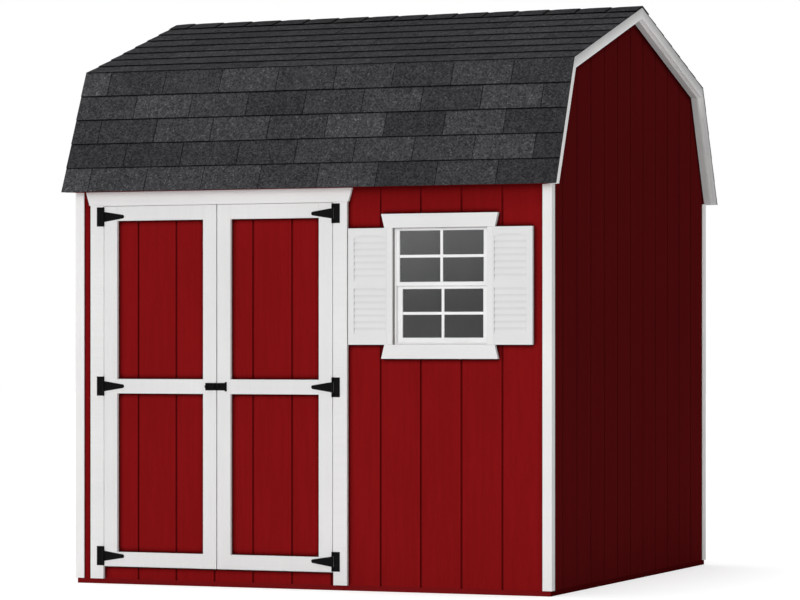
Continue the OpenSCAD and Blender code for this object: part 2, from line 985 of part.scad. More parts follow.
sash_left = window_left + window_shim + window_frame_thickness + fit_clearance;
sash_right = window_right - window_shim - window_frame_thickness - fit_clearance;
sash_top = window_top - window_head_shim - window_frame_thickness / 2 - fit_clearance;
sash_bottom = window_bottom + window_frame_thickness + fit_clearance;
lower_sash_top = meeting_height + meeting_rail / 2;

// Opening of a sash: left, right, lower and upper edge
upper_light = [sash_left + upper_stile, sash_right - upper_stile,
    meeting_height + meeting_rail, sash_top - upper_top_rail];
lower_light = [sash_left + lower_stile, sash_right - lower_stile,
    sash_bottom + lower_bottom_rail, lower_sash_top - lower_top_rail];

// Sash with a through opening and a groove round it for the pane
module sash(y, z0, z1, light) {
    difference() {
        block(sash_left, sash_right, y, y + sash_thickness, z0, z1);
        block(light[0], light[1], y - 1, y + sash_thickness + 1, light[2], light[3]);
        pane_block(y, light, glass_groove, glass_thickness + 2 * fit_clearance);
    }
}

// Block in the middle of a sash, reaching past its opening
module pane_block(y, light, reach, thickness) {
    middle = y + sash_thickness / 2;
    block(light[0] - reach, light[1] + reach,
        middle - thickness / 2, middle + thickness / 2,
        light[2] - reach, light[3] + reach);
}

module upper_sash() {
    color(white) sash(upper_sash_y, meeting_height, sash_top, upper_light);
}

module lower_sash() {
    color(white) sash(lower_sash_y, sash_bottom, lower_sash_top, lower_light);
}

module window_glass() {
    color(pane) {
        reach = glass_groove - fit_clearance;
        pane_block(upper_sash_y, upper_light, reach, glass_thickness);
        pane_block(lower_sash_y, lower_light, reach, glass_thickness);
    }
}

module window_casings() {
    color(white) {
        block(window_left - window_casing_width, window_left, -board_face, -siding_y,
            window_bottom + fit_clearance, window_top - fit_clearance);
        block(window_right, window_right + window_casing_width, -board_face, -siding_y,
            window_bottom + fit_clearance, window_top - fit_clearance);
        a = window_left - window_casing_width - window_board_lap;
        b = window_right + window_casing_width + window_board_lap;
        flared_board(a, b, window_top, window_top + window_board_height,
            window_board_flare, window_board_thickness);
        flared_board(a, b, window_bottom, window_bottom - window_board_height,
            window_board_flare, window_board_thickness);
    }
}

// Shutters

// Louvred field from z0 to z1, with slats that slope outwards
module slats(x0, x1, z0, z1, pitch) {
    overlap = 0.5;
    back = -shutter_thickness + louver_depth + overlap;
    front = -shutter_thickness + slat_setback;
    for (i = [0:floor((z1 - z0) / pitch + 0.01)])
        translate([x0 - overlap, 0, z0 + i * pitch])
            rotate([90, 0, 90])
                linear_extrude(x1 - x0 + 2 * overlap)
                    polygon([[back, 0], [front, 0], [front, slat_edge], [back, pitch]]);
}

// Louvred fields of a shutter, seen from the front
module fields(x0, x1) {
    upper_bottom = shutter_middle_height + shutter_middle_rail;
    spring = window_height - shutter_top_rail - shutter_arch;
    span = x1 - x0;
    arch_radius = (span * span / 4 + shutter_arch * shutter_arch) / (2 * shutter_arch);
    translate([x0, shutter_bottom_rail])
        square([span, shutter_middle_height - shutter_bottom_rail]);
    translate([x0, upper_bottom])
        square([span, spring - upper_bottom]);
    intersection() {
        translate([x0, spring - 1])
            square([span, shutter_arch + 2]);
        translate([x0 + span / 2, spring + shutter_arch - arch_radius])
            circle(r = arch_radius, $fn = 180);
    }
}

// Shutter with its outer side member on the left
module shutter() {
    x0 = shutter_stile;
    x1 = shutter_width - shutter_inner_stile;
    pitch = (shutter_middle_height - shutter_bottom_rail) / louver_count;
    difference() {
        block(0, shutter_width, -shutter_thickness, 0, 0, window_height);
        translate([0, -shutter_thickness + louver_depth, 0])
            rotate([90, 0, 0])
                linear_extrude(louver_depth + 1)
                    fields(x0, x1);
    }
    intersection() {
        rotate([90, 0, 0])
            linear_extrude(shutter_thickness)
                fields(x0, x1);
        union() {
            slats(x0, x1, shutter_bottom_rail, shutter_middle_height - 1, pitch);
            slats(x0, x1, shutter_middle_height + shutter_middle_rail,
                window_height - shutter_top_rail, pitch);
        }
    }
}

module left_shutter() {
    color(white)
        translate([left_shutter_x, -siding_y, window_bottom]) shutter();
}

module right_shutter() {
    color(white)
        translate([right_shutter_x + shutter_width, -siding_y, window_bottom])
            mirror([1, 0, 0]) shutter();
}

floor_frame();
floor_deck();
base_strip();
front_siding_left();
front_siding_below_door();
front_siding_above_door();
front_siding_right();
back_siding();
left_siding();
right_siding();
bottom_plates();
top_plates();
front_studs();
back_studs();
side_studs();
opening_headers();
lower_rafters();
upper_rafters();
truss_gussets();
lower_roof_boards();
upper_roof_boards();
lower_shingles();
upper_shingles();
ridge_cap();
rake_fascias();
rake_strips();
eave_soffits();
corner_boards();
door_casings();
door_stops();
hinge_plates();
left_door_panel();
left_door_boards();
left_door_straps();
right_door_panel();
right_door_boards();
right_door_straps();
latch_housing();
latch_bolt();
latch_keeper();
window_frame();
upper_sash();
lower_sash();
window_glass();
window_casings();
left_shutter();
right_shutter();
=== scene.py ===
"""Small gambrel-roofed timber barn, dressed over its CAD frame. Metres; the front faces -Y."""
import math
import random
from collections import namedtuple

import bmesh
import bpy
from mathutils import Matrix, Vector


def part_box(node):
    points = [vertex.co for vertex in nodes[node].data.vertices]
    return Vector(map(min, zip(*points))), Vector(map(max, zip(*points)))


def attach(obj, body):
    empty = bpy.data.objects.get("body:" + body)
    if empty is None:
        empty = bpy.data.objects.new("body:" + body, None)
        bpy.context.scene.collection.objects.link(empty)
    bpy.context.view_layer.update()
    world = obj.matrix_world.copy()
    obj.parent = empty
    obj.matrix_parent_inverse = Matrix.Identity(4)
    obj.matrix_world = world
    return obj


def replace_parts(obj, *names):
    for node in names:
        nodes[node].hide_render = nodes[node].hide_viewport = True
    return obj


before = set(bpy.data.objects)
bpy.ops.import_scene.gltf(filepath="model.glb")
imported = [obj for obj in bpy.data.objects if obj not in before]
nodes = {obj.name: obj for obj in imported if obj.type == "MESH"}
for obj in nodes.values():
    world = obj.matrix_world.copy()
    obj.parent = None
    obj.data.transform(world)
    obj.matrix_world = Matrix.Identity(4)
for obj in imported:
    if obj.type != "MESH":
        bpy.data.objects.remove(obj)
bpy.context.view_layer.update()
scene = bpy.context.scene
rng = random.Random(11)

# Outline of the roof, read from the frame

SHINGLE_THICKNESS = 0.005
CAP_THICKNESS = 0.004
eave_y, eave_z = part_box("lower_shingles")[1].y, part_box("lower_shingles")[0].z
break_y, break_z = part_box("upper_shingles")[1].y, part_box("lower_shingles")[1].z
roof_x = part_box("lower_shingles")[1].x
strip_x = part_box("rake_strips")[1].x
ridge_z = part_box("ridge_cap")[1].z
peak_z = ridge_z - CAP_THICKNESS / math.cos(math.atan2(ridge_z - break_z, break_y))
low_pitch = math.atan2(break_z - eave_z, eave_y - break_y)
high_pitch = math.atan2(peak_z - break_z, break_y)
low_length = math.hypot(break_z - eave_z, eave_y - break_y)
high_length = math.hypot(peak_z - break_z, break_y)

# Materials

# Grain runs along the axis whose scale is small
UPRIGHT = (1.0, 1.0, 0.05)
SIDEWAYS = (0.05, 1.0, 1.0)
INWARD = (1.0, 0.05, 1.0)

# Scales of patterns that several finishes share, in features to the metre
PAINT_GRAIN = 420.0
PAINT_PATCHES = 2.2
WOOD_RINGS = 26.0
WOOD_FIBRES = 500.0
PLASTIC_SKIN = 900.0
PLASTIC_CLOUDS = 7.0

# Noise lies mostly between these two values
NOISE_LOW, NOISE_HIGH = 0.3, 0.7

PAINT_ROUGHNESS = 0.62

# Painted shade darkens corners: what lies within this distance, between these two shares of open
# sky
CORNER_REACH = 0.03
CLOSED_IN, OPEN = 0.57, 0.93

# Depths under the roof's outer face between which painted shade ends: on the wall under the
# rakes, and on the gable boards under the shingles
RAKE_SHADE = (0.066, 0.112)
SHINGLE_SHADE = (0.006, 0.055)

# Heights between which the gable walls darken, and places from front to back between which
# painted shade darkens the gable boards
GABLE_FALL = (0.35, 1.3)
RAKE_FALL = (-0.2, 0.6)

# Half widths of the change of painted shade at the face of the nailing strips and at the roof's
# bend
STRIP_CHANGE = 0.0004
BEND_CHANGE = 0.02

# Heights under the eaves between which painted shade dims the wall and its painted dark corners
# fade
EAVE_SHADE = (eave_z - 0.13, eave_z - 0.02)
EAVE_FADE = (eave_z - 0.07, eave_z - 0.02)

# Heights between which the painted edge of the lower roof boards ends
EDGE_PAINT = (eave_z + 0.018, eave_z + 0.024)

# Heights between which the painted reflection on the panes grows brighter
REFLECTION_HEIGHTS = (1.35, 1.7)

# From the middle of a shutter to just outside its louvred fields, and the change of painted shade
# there
LOUVRES_END = 0.094
LOUVRES_CHANGE = 0.0005

# Shade in the louvred fields: depths behind the shutter's face, and distances from their ends
LOUVRE_DEPTHS = (0.001, 0.0045)
LOUVRE_CORNERS = (0.001, 0.005)


class Finish:
    """One procedural material: a principled shader and short calls for its nodes."""

    def __init__(self, name, roughness, specular, **numbers):
        self.material = bpy.data.materials.new(name)
        self.material.use_nodes = True
        self.tree = self.material.node_tree
        self.shader = self.tree.nodes["Principled BSDF"]
        self.shader.inputs["Roughness"].default_value = roughness
        self.shader.inputs["Specular IOR Level"].default_value = specular
        for key, value in numbers.items():
            self.shader.inputs[key.replace("_", " ")].default_value = value
        self.place = self.node("ShaderNodeTexCoord").outputs["Object"]

    def node(self, kind, inputs=(), **settings):
        made = self.tree.nodes.new(kind)
        for key, value in settings.items():
            setattr(made, key, value)
        for key, value in dict(inputs).items():
            if isinstance(value, bpy.types.NodeSocket):
                self.tree.links.new(value, made.inputs[key])
            else:
                made.inputs[key].default_value = value
        return made

    def math(self, operation, a, b=0.0):
        return self.node("ShaderNodeMath", {0: a, 1: b}, operation=operation).outputs[0]

    def product(self, *factors):
        value = factors[0]
        for factor in factors[1:]:
            value = self.math("MULTIPLY", value, factor)
        return value

    def blend(self, share, a, b):
        """A number between two numbers."""
        return self.node("ShaderNodeMix", {0: share, 2: a, 3: b}).outputs[0]

    def mixed(self, share, a, b):
        """A colour between two colours, each a socket or three numbers."""
        ends = [c if isinstance(c, bpy.types.NodeSocket) else (*c, 1.0) for c in (a, b)]
        made = self.node("ShaderNodeMix", {0: share, 6: ends[0], 7: ends[1]}, data_type="RGBA")
        return made.outputs[2]

    def shade(self, colour, factor):
        """A colour made darker or lighter by a factor."""
        return self.node("ShaderNodeVectorMath", {0: colour, 3: factor},
                         operation="SCALE").outputs[0]

    def spread(self, value, low, high, new_low, new_high):
        """A value moved from one range to another, held inside it."""
        return self.node("ShaderNodeMapRange",
                         {"Value": value, "From Min": low, "From Max": high,
                          "To Min": new_low, "To Max": new_high}).outputs[0]

    def vary(self, noise, new_low, new_high):
        """The usual range of a noise moved to a range of tones or roughnesses."""
        return self.spread(noise, NOISE_LOW, NOISE_HIGH, new_low, new_high)

    def stretched(self, scale, source=None):
        """Place with each axis scaled on its own, so that grain can run along one of them."""
        return self.node("ShaderNodeVectorMath", {0: source or self.place, 1: scale},
                         operation="MULTIPLY").outputs[0]

    def noise(self, source, scale, detail=2.0, roughness=0.5, distortion=0.0):
        return self.node("ShaderNodeTexNoise",
                         {"Vector": source, "Scale": scale, "Detail": detail,
                          "Roughness": roughness, "Distortion": distortion}).outputs["Fac"]

    def cells(self, source, scale, output="Color"):
        return self.node("ShaderNodeTexVoronoi",
                         {"Vector": source, "Scale": scale}).outputs[output]

    def parts(self, vector):
        """The three parts of a vector."""
        return self.node("ShaderNodeSeparateXYZ", {0: vector}).outputs

    def facing(self, axis):
        """How far the surface faces along an axis, either way: 0 for x, 1 for y, 2 for z."""
        normal = self.node("ShaderNodeNewGeometry").outputs["Normal"]
        return self.math("ABSOLUTE", self.parts(normal)[axis])

    def painted_corner_shade(self, dark):
        """Painted shade: from dark in tight corners and beside boards to 1 on open surfaces."""
        free = self.node("ShaderNodeAmbientOcclusion", {"Distance": CORNER_REACH}, samples=8)
        return self.spread(free.outputs["AO"], CLOSED_IN, OPEN, dark, 1.0)

    def below_slope(self, pitch):
        """Depth under the outer face of a roof slope, on either half of the building."""
        y, z = self.parts(self.place)[1:3]
        run = self.math("MULTIPLY", self.math("ABSOLUTE", y), math.sin(pitch))
        rise = self.math("MULTIPLY", z, math.cos(pitch))
        level = math.sin(pitch) * break_y + math.cos(pitch) * break_z
        return self.math("SUBTRACT", level, self.math("ADD", run, rise))

    def finish(self, colour, roughness=None, height=None, depth=None):
        """The material with its colour, roughness and relief joined to the shader."""
        self.tree.links.new(colour, self.shader.inputs["Base Color"])
        if roughness is not None:
            self.tree.links.new(roughness, self.shader.inputs["Roughness"])
        if height is not None:
            bump = self.node("ShaderNodeBump", {"Height": height, "Distance": depth,
                                                "Strength": 1.0})
            self.tree.links.new(bump.outputs[0], self.shader.inputs["Normal"])
        return self.material


def wood_paint(name, colour, grain, contrast, painted_shade=False, ends=1.0):
    """Paint on sawn or rolled wood: faint grain lines, brushed patches and soft relief.

    When asked, painted shade darkens it in grooves, beside boards and under the eaves.
    On faces towards the gables its tone changes by the factor ends, which paints shade there.
    """
    f = Finish(name, PAINT_ROUGHNESS, specular=0.0)
    along = f.stretched(grain)
    fine = f.noise(along, PAINT_GRAIN, detail=3.0, roughness=0.6)
    brushed = f.noise(along, scale=60.0, distortion=0.4)
    patch = f.noise(f.place, PAINT_PATCHES)
    tone = f.product(f.vary(fine, 1.0 - contrast, 1.0 + contrast),
                     f.vary(brushed, 1.0 - contrast, 1.0 + contrast), f.vary(patch, 0.97, 1.03))
    # Painted shade: darker in grooves and beside boards, and dimmer towards the eaves
    if painted_shade:
        dim = f.math("POWER", f.painted_corner_shade(0.25), 1.3)
        height = f.parts(f.place)[2]
        strength = f.spread(height, *EAVE_FADE, 1.0, 0.3)
        eave = f.spread(height, *EAVE_SHADE, 1.0, 0.8)
        tone = f.product(tone, eave, f.blend(strength, 1.0, dim))
    # Painted shade on the faces towards the gables
    if ends != 1.0:
        tone = f.product(tone, f.spread(f.facing(0), 0.4, 0.6, 1.0, ends))
    shine = f.vary(brushed, PAINT_ROUGHNESS - 0.08, PAINT_ROUGHNESS + 0.08)
    relief = f.math("ADD", fine, f.math("MULTIPLY", brushed, 1.5))
    return f.finish(f.shade(colour, tone), shine, relief, depth=0.0006)


def gable_paint(name, colour):
    """Red of the gable walls: painted shade in the grooves and under the rakes, and darker higher
    up.
    """
    f = Finish(name, PAINT_ROUGHNESS, specular=0.0)
    along = f.stretched(UPRIGHT)
    fine = f.noise(along, PAINT_GRAIN, detail=3.0, roughness=0.6)
    streak = f.noise(along, scale=26.0)
    patch = f.noise(f.place, PAINT_PATCHES)
    under = f.math("MINIMUM", f.below_slope(low_pitch), f.below_slope(high_pitch))
    height = f.parts(f.place)[2]
    tone = f.product(f.vary(fine, 0.95, 1.05), f.vary(patch, 0.97, 1.03),
                     f.vary(streak, 0.95, 1.05), f.painted_corner_shade(0.78),
                     f.spread(under, *RAKE_SHADE, 0.25, 1.0),
                     f.spread(height, *GABLE_FALL, 1.0, 0.89))
    shine = f.vary(fine, PAINT_ROUGHNESS - 0.06, PAINT_ROUGHNESS + 0.06)
    return f.finish(f.shade(colour, tone), shine, fine, depth=0.0006)


def rake_paint(name, colour):
    """White of the gable boards, greyed by painted shade under the shallow slope and towards the
    back.
    """
    f = Finish(name, PAINT_ROUGHNESS, specular=0.0)
    along = f.stretched((1.0, 0.1, 0.6))
    fine = f.noise(along, PAINT_GRAIN, detail=3.0, roughness=0.6)
    patch = f.noise(f.place, scale=6.0)
    x, y, _ = f.parts(f.place)
    # Painted shade and light: darker just under the shallow slope's shingles, lighter further
    # down
    grey = f.spread(f.below_slope(high_pitch), *SHINGLE_SHADE, 0.69, 1.07)
    # Painted shade towards the back, on the nailing strips and on the back's steep gable boards
    behind = f.spread(y, *RAKE_FALL, 1.0, 0.82)
    strip = f.spread(f.math("ABSOLUTE", x), strip_x - STRIP_CHANGE, strip_x + STRIP_CHANGE,
                     1.0, 0.0)
    steep = f.spread(y, break_y - BEND_CHANGE, break_y + BEND_CHANGE, 1.0, 0.77)
    tone = f.product(grey, behind, f.blend(strip, steep, 0.68), f.vary(fine, 0.985, 1.015),
                     f.vary(patch, 0.97, 1.03))
    shine = f.vary(fine, PAINT_ROUGHNESS - 0.06, PAINT_ROUGHNESS + 0.06)
    return f.finish(f.shade(colour, tone), shine, fine, depth=0.0005)


def growth_rings(f, along):
    return f.noise(along, WOOD_RINGS, distortion=1.5)


def fibrous(f, along, rings, streak, colour, dark):
    """Bare wood with dark streaks, whose fibres and rings stand out a little."""
    fibre = f.noise(along, WOOD_FIBRES)
    shade = f.shade(f.mixed(streak, colour, dark), f.vary(fibre, 0.93, 1.06))
    return f.finish(shade, height=f.math("ADD", fibre, rings), depth=0.0005)


def bare_wood(name, colour, dark, grain):
    """Planed softwood with growth rings along one axis, darker fibres and a few knots."""
    f = Finish(name, roughness=0.75, specular=0.15)
    along = f.stretched(grain)
    rings = growth_rings(f, along)
    wander = f.noise(along, scale=3.0)
    round_place = f.stretched([3.0 if scale == 1.0 else 1.2 for scale in grain])
    away = f.cells(round_place, scale=1.6, output="Distance")
    knots = f.spread(away, 0.04, 0.12, 1.0, 0.0)
    streak = f.product(f.spread(rings, 0.42, 0.62, 0.0, 1.0),
                       f.spread(wander, 0.2, 0.8, 0.25, 0.9))
    return fibrous(f, along, rings, f.math("MAXIMUM", streak, knots), colour, dark)


def slope_wood(name, colour, dark, pitch):
    """Bare wood whose grain follows a roof slope on both halves of the building."""
    f = Finish(name, roughness=0.75, specular=0.15)
    x, y, z = f.parts(f.place)
    folded = f.node("ShaderNodeCombineXYZ", {0: x, 1: f.math("ABSOLUTE", y), 2: z})
    turned = f.node("ShaderNodeMapping", {"Vector": folded.outputs[0],
                                          "Rotation": (pitch, 0.0, 0.0)})
    along = f.stretched(INWARD, turned.outputs[0])
    rings = growth_rings(f, along)
    return fibrous(f, along, rings, f.spread(rings, 0.42, 0.62, 0.0, 0.75), colour, dark)


def sheathing(name, colour, dark, eave_edge=None):
    """Peeled plywood face: wide wandering figure, short checks and patchy colour.

    The lower edge of the roof boards is painted, when its colour is given; that dark red is
    partly painted shade.
    """
    f = Finish(name, roughness=0.8, specular=0.12)
    along = f.stretched((0.12, 1.0, 1.0))
    figure = f.noise(along, scale=9.0, detail=3.0, roughness=0.55, distortion=2.2)
    checks = f.noise(along, scale=260.0)
    patch = f.noise(f.place, scale=3.0, detail=1.0)
    shade = f.mixed(f.spread(figure, 0.4, 0.6, 0.0, 0.8), colour, dark)
    shade = f.shade(shade, f.product(f.vary(checks, 0.92, 1.05), f.vary(patch, 0.93, 1.05)))
    # Dark paint on the eave edge, partly painted shade
    if eave_edge:
        height = f.parts(f.place)[2]
        painted = f.spread(height, *EDGE_PAINT, 1.0, 0.0)
        shade = f.mixed(painted, shade, eave_edge)
    return f.finish(shade, height=f.math("ADD", checks, figure), depth=0.0004)


def louvred(name, colour):
    """Moulded shutter: an even white skin, with painted shade deep in its louvred fields and on
    their end walls.
    """
    f = Finish(name, roughness=0.5, specular=0.15)
    skin = f.noise(f.place, PLASTIC_SKIN)
    cloud = f.noise(f.place, PLASTIC_CLOUDS)
    x, y, _ = f.parts(f.place)
    offsets = []
    for low, high in (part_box("left_shutter"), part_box("right_shutter")):
        offsets.append(f.math("ABSOLUTE", f.math("SUBTRACT", x, (low.x + high.x) / 2)))
    offset = f.math("MINIMUM", *offsets)
    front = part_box("left_shutter")[0].y
    deep = f.spread(y, *(front + depth for depth in LOUVRE_DEPTHS), 0.0, 1.0)
    within = f.spread(offset, LOUVRES_END, LOUVRES_END + LOUVRES_CHANGE, 1.0, 0.0)
    wall = f.product(within, f.spread(f.facing(0), 0.45, 0.55, 0.0, 1.0))
    from_end = f.math("ABSOLUTE", f.math("SUBTRACT", offset, LOUVRES_END))
    corner = f.product(deep, f.spread(from_end, *LOUVRE_CORNERS, 1.0, 0.0))
    # Painted shade: darker deeper in the fields, on their end walls and in their corners
    tone = f.product(f.vary(skin, 0.99, 1.01), f.vary(cloud, 0.985, 1.015),
                     f.spread(deep, 0.5, 1.0, 1.01, 0.93), f.spread(wall, 0.0, 1.0, 1.0, 0.1),
                     f.spread(corner, 0.0, 1.0, 1.0, 0.6))
    return f.finish(f.shade(colour, tone), f.vary(cloud, 0.45, 0.55), skin, depth=0.0002)


def moulded(name, colour, roughness, specular):
    """Moulded or extruded white plastic: even, with a fine skin and faint clouding."""
    f = Finish(name, roughness, specular)
    skin = f.noise(f.place, PLASTIC_SKIN)
    cloud = f.noise(f.place, PLASTIC_CLOUDS)
    tone = f.product(f.vary(skin, 0.99, 1.01), f.vary(cloud, 0.975, 1.02))
    shine = f.vary(cloud, roughness - 0.05, roughness + 0.05)
    return f.finish(f.shade(colour, tone), shine, skin, depth=0.0001)


def powder_coat(name, colour):
    """Black powder coat with orange peel and lighter dust in patches."""
    f = Finish(name, roughness=0.55, specular=0.04)
    peel = f.noise(f.place, scale=650.0)
    cloud = f.noise(f.place, scale=40.0)
    tone = f.product(f.vary(peel, 0.8, 1.25), f.vary(cloud, 0.85, 1.2))
    return f.finish(f.shade(colour, tone), f.vary(cloud, 0.45, 0.65), peel, depth=0.0003)


def granules(name, colour):
    """Mineral shingle face: coarse grains, pale specks in drifts, and the tone of each tab with
    its painted shadows.
    """
    f = Finish(name, roughness=0.95, specular=0.0)
    tab = f.node("ShaderNodeAttribute", attribute_name="tone").outputs["Fac"]
    small = f.cells(f.place, scale=620.0)
    large = f.cells(f.place, scale=150.0)
    fine = f.node("ShaderNodeSeparateColor", {0: small}).outputs[0]
    coarse, pale = f.node("ShaderNodeSeparateColor", {0: large}).outputs[:2]
    drift = f.noise(f.place, scale=9.0)
    clump = f.noise(f.stretched((1.0, 0.55, 0.55)), scale=48.0, roughness=0.6)
    tone = f.product(tab, f.spread(fine, 0.0, 1.0, 0.85, 1.15),
                     f.spread(coarse, 0.0, 1.0, 0.52, 1.42), f.vary(clump, 0.88, 1.12),
                     f.vary(drift, 0.93, 1.07))
    speck = f.product(f.spread(pale, 0.86, 0.93, 0.0, 1.0),
                      f.spread(clump, 0.4, 0.62, 0.2, 1.0), f.spread(tab, 0.5, 1.25, 0.0, 1.5))
    return f.finish(f.shade(colour, f.math("ADD", tone, speck)), height=fine, depth=0.0007)


def pane_glass(name):
    """Clear pane whose grey colour is a painted reflection, brighter to the top and the left of
    the window.
    """
    f = Finish(name, roughness=0.08, specular=0.5, IOR=1.45, Transmission_Weight=0.75)
    x, _, z = f.parts(f.place)
    low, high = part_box("window_glass")
    smear = f.noise(f.stretched((1.0, 1.0, 0.4)), scale=9.0)
    # Painted reflection: brighter to the top and the left of the window, with faint smears
    painted_reflection = f.product(f.spread(z, *REFLECTION_HEIGHTS, 0.108, 0.258),
                     f.spread(x, low.x, high.x, 1.21, 0.79), f.vary(smear, 0.92, 1.08))
    return f.finish(f.shade((0.97, 0.985, 1.0), painted_reflection), f.vary(smear, 0.05, 0.11))


PINE, PINE_DARK = (0.62, 0.43, 0.24), (0.42, 0.24, 0.1)
PLY, PLY_DARK = (0.62, 0.46, 0.28), (0.46, 0.3, 0.15)
PRIMER, PRIMER_DARK = (0.85, 0.84, 0.82), (0.78, 0.76, 0.72)
# Dark red of the roof boards' eave edge, darker than the walls' paint: partly painted shade
EAVE_RED = (0.07, 0.008, 0.009)
RED_GRAIN, WHITE_GRAIN = 0.05, 0.012

# The front's red carries painted shade in its grooves, beside boards and under the eaves
red_front = wood_paint("red_front", (0.228, 0.0068, 0.0078), UPRIGHT, RED_GRAIN, painted_shade=True)
# The gable walls' red is a darker copy of the front's red: painted shade on these sides
red_gable_shaded = gable_paint("red_gable_shaded", (0.111, 0.0063, 0.007))
# The base strip's red is darker on its faces towards the gables: painted shade
red_base = wood_paint("red_base", (0.19, 0.008, 0.0095), SIDEWAYS, RED_GRAIN, ends=0.42)
# One white paint in three copies of different brightness: painted light and shade on the door
# boards, corner boards and casings
white_trim = wood_paint("white_trim", (0.825, 0.822, 0.82), UPRIGHT, WHITE_GRAIN)
white_bright = wood_paint("white_bright", (0.9, 0.893, 0.888), UPRIGHT, WHITE_GRAIN)
white_level = wood_paint("white_level", (0.845, 0.842, 0.84), SIDEWAYS, WHITE_GRAIN)
white_rake = rake_paint("white_rake", (0.97, 0.965, 0.96))
vinyl = moulded("white_vinyl", (0.92, 0.92, 0.92), roughness=0.4, specular=0.25)
bar_white = moulded("white_bars", (0.97, 0.97, 0.97), roughness=0.4, specular=0.1)
shutter_white = louvred("white_shutter", (0.8, 0.801, 0.803))
black = powder_coat("black_coat", (0.005, 0.005, 0.0054))
shingle = granules("shingle_granules", (0.05, 0.05, 0.0535))
glass = pane_glass("pane_glass")
timber_up = bare_wood("timber_upright", PINE, PINE_DARK, UPRIGHT)
timber_across = bare_wood("timber_across", PINE, PINE_DARK, SIDEWAYS)
timber_in = bare_wood("timber_inward", PINE, PINE_DARK, INWARD)
timber_primed = bare_wood("timber_primed", PRIMER, PRIMER_DARK, UPRIGHT)
timber_low = slope_wood("timber_steep", PINE, PINE_DARK, low_pitch)
timber_high = slope_wood("timber_shallow", PINE, PINE_DARK, high_pitch)
deck = sheathing("deck_board", PLY, PLY_DARK)
deck_eave = sheathing("deck_board_eave", PLY, PLY_DARK, EAVE_RED)

FINISHES = {
    red_front: ["front_siding_left", "front_siding_below_door", "front_siding_above_door",
                "front_siding_right", "back_siding", "left_door_panel", "right_door_panel",
                "eave_soffits"],
    red_gable_shaded: ["left_siding", "right_siding"],
    red_base: ["base_strip"],
    white_trim: ["left_door_boards", "right_door_boards"],
    white_bright: ["corner_boards"],
    white_rake: ["rake_fascias", "rake_strips"],
    white_level: ["door_casings", "window_casings"],
    vinyl: ["window_frame", "upper_sash", "lower_sash"],
    shutter_white: ["left_shutter", "right_shutter"],
    black: ["hinge_plates", "left_door_straps", "right_door_straps", "latch_housing",
            "latch_bolt", "latch_keeper"],
    glass: ["window_glass"],
    timber_up: ["front_studs", "back_studs", "side_studs"],
    timber_primed: ["door_stops"],
    timber_across: ["opening_headers", "top_plates", "bottom_plates"],
    timber_in: ["floor_frame"],
    timber_low: ["lower_rafters"],
    timber_high: ["upper_rafters"],
    deck: ["floor_deck", "truss_gussets", "upper_roof_boards"],
    deck_eave: ["lower_roof_boards"],
}
for material, names in FINISHES.items():
    for name in names:
        data = nodes[name].data
        if not data.materials:
            data.materials.append(None)
        for slot in nodes[name].material_slots:
            slot.material = material

# Eased edges: the frame's faces are joined, then bevelled, without touching the mesh

BOARD_EASE = 0.0012
IRON_EASE = 0.0005
JOIN_REACH = 0.00002
SHARP_ANGLE = 35
EASED = {
    BOARD_EASE: ["left_door_boards", "right_door_boards", "corner_boards", "door_casings",
                 "window_casings", "rake_fascias", "window_frame", "upper_sash", "lower_sash"],
    IRON_EASE: ["hinge_plates", "left_door_straps", "right_door_straps", "latch_housing",
                "latch_keeper", "latch_bolt"],
}
for width, names in EASED.items():
    for name in names:
        join = nodes[name].modifiers.new("join", "WELD")
        join.merge_threshold = JOIN_REACH
        ease = nodes[name].modifiers.new("ease", "BEVEL")
        ease.width = width
        ease.segments = 2
        ease.limit_method = "ANGLE"
        ease.angle_limit = math.radians(SHARP_ANGLE)

# Pieces built in code


class Form:
    """Closed forms gathered into one mesh, with a tone on every face."""

    def __init__(self):
        self.points, self.faces, self.tones = [], [], []

    def add(self, points, faces, tone=1.0):
        """Faces over new points, with one tone for all of them or a list of tones."""
        start = len(self.points)
        self.points += [tuple(p) for p in points]
        for i, face in enumerate(faces):
            self.faces.append([start + j for j in face])
            self.tones.append(tone[i] if isinstance(tone, list) else tone)

    def prism(self, ring_a, ring_b, tone=1.0):
        """Closed form between two rings of the same number of points."""
        n = len(ring_a)
        sides = [[i, (i + 1) % n, n + (i + 1) % n, n + i] for i in range(n)]
        self.add(list(ring_a) + list(ring_b),
                 sides + [list(range(n))[::-1], list(range(n, 2 * n))], tone)

    def piece(self, name, material, body):
        """The finished mesh as a piece that rides a body and fills a material slot."""
        mesh = bpy.data.meshes.new(name)
        mesh.from_pydata(self.points, [], self.faces)
        tones = mesh.attributes.new("tone", "FLOAT", "FACE")
        tones.data.foreach_set("value", self.tones)
        work = bmesh.new()
        work.from_mesh(mesh)
        bmesh.ops.recalc_face_normals(work, faces=work.faces)
        work.to_mesh(mesh)
        work.free()
        mesh.materials.append(material)
        made = bpy.data.objects.new(name, mesh)
        scene.collection.objects.link(made)
        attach(made, body)
        return made


# Places on the roof, as y and z: distances along a slope and depths under its outer face


def between(a, b, share):
    return a[0] + (b[0] - a[0]) * share, a[1] + (b[1] - a[1]) * share


def eave_point(depth):
    return eave_y - depth / math.sin(low_pitch), eave_z


def break_point(depth):
    """Where the two slopes meet at a depth under both of them."""
    a = Vector((math.sin(low_pitch), math.cos(low_pitch)))
    b = Vector((math.sin(high_pitch), math.cos(high_pitch)))
    point = Vector((break_y, break_z)) - depth * (a + b) / (1 + a.dot(b))
    return point.x, point.y


def ridge_point(depth):
    return 0.0, peak_z - depth / math.cos(high_pitch)


def on_low(t, depth):
    return between(eave_point(depth), break_point(depth), t / low_length)


def on_high(t, depth):
    return between(break_point(depth), ridge_point(depth), t / high_length)


# Shingles

